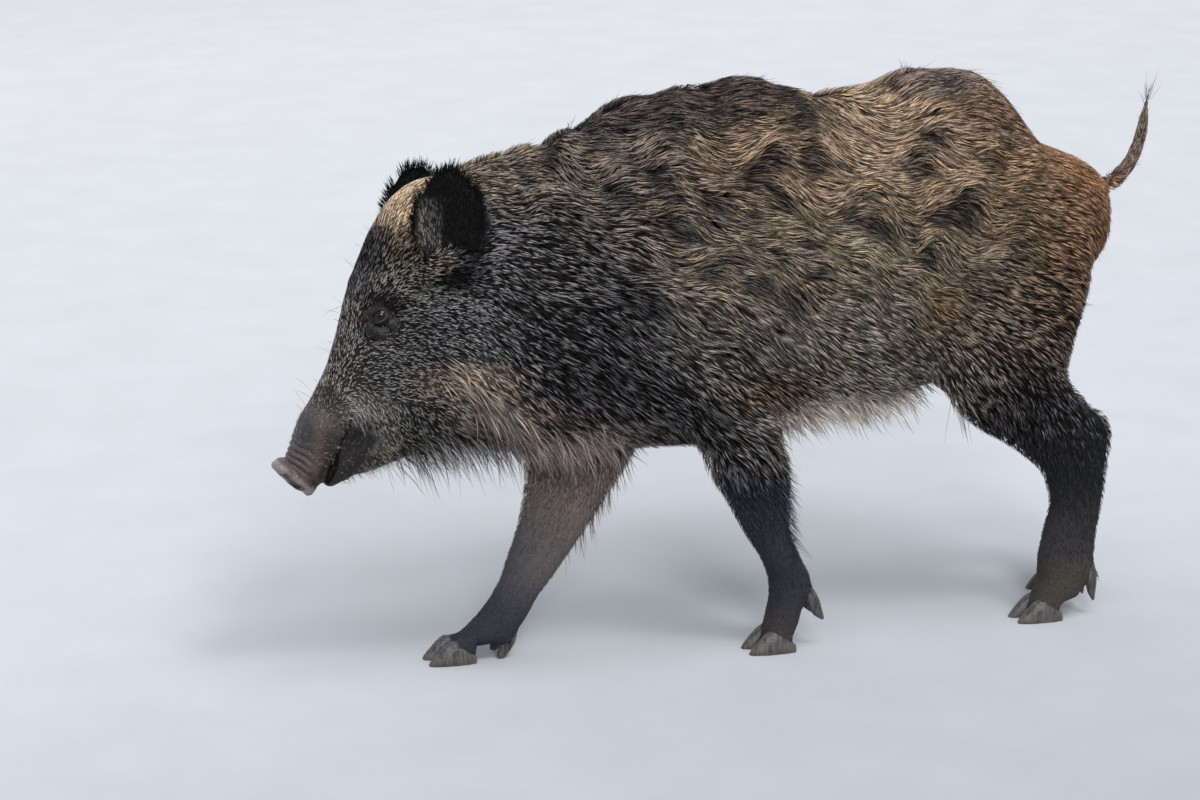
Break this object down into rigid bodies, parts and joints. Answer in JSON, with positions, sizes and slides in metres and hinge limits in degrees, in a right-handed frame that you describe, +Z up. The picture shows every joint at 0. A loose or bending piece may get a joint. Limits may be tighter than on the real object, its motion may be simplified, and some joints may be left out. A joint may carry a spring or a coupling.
{
  "type": "wild boar",
  "caption": "Life-size standing wild boar in a walking stance, head lowered, shaggy grizzled coat, upright ears, long flat-ended snout, cloven hooves and a raised tail.",
  "frame": {"origin": "on the floor under the middle of the bounding box", "axes": "+Z up, +X towards the tail so that the head points to -X, +Y towards the animal's right side"},
  "size_m": [1.183, 0.294, 0.737],
  "materials": {
    "coat": "coarse grizzled brown and buff hair",
    "dark_coat": "short black-brown hair",
    "bare_skin": "bare grey-brown skin, slightly moist",
    "horn": "worn grey-brown horn",
    "eye": "dark wet eyeball"
  },
  "bodies": {
    "root": {"ear_left": "dark_coat", "ear_right": "dark_coat", "nose_disc": "bare_skin", "lower_jaw": "bare_skin", "muzzle": "bare_skin", "head": "coat", "tail": "coat", "fore_left_foot": "dark_coat", "fore_left_forearm": "dark_coat", "fore_right_foot": "dark_coat", "fore_right_forearm": "dark_coat", "hind_left_foot": "dark_coat", "hind_left_shank": "dark_coat", "hind_right_foot": "dark_coat", "hind_right_shank": "dark_coat", "neck": "coat", "shoulders": "coat", "barrel": "coat", "rump": "coat", "hoof_fore_left_inner": "horn", "hoof_fore_left_outer": "horn", "dewclaw_fore_left_inner": "horn", "dewclaw_fore_left_outer": "horn", "hoof_fore_right_inner": "horn", "hoof_fore_right_outer": "horn", "dewclaw_fore_right_inner": "horn", "dewclaw_fore_right_outer": "horn", "hoof_hind_left_inner": "horn", "hoof_hind_left_outer": "horn", "dewclaw_hind_left_inner": "horn", "dewclaw_hind_left_outer": "horn", "hoof_hind_right_inner": "horn", "hoof_hind_right_outer": "horn", "dewclaw_hind_right_inner": "horn", "dewclaw_hind_right_outer": "horn", "eye_left": "eye", "eye_right": "eye"}
  },
  "joints": []
}
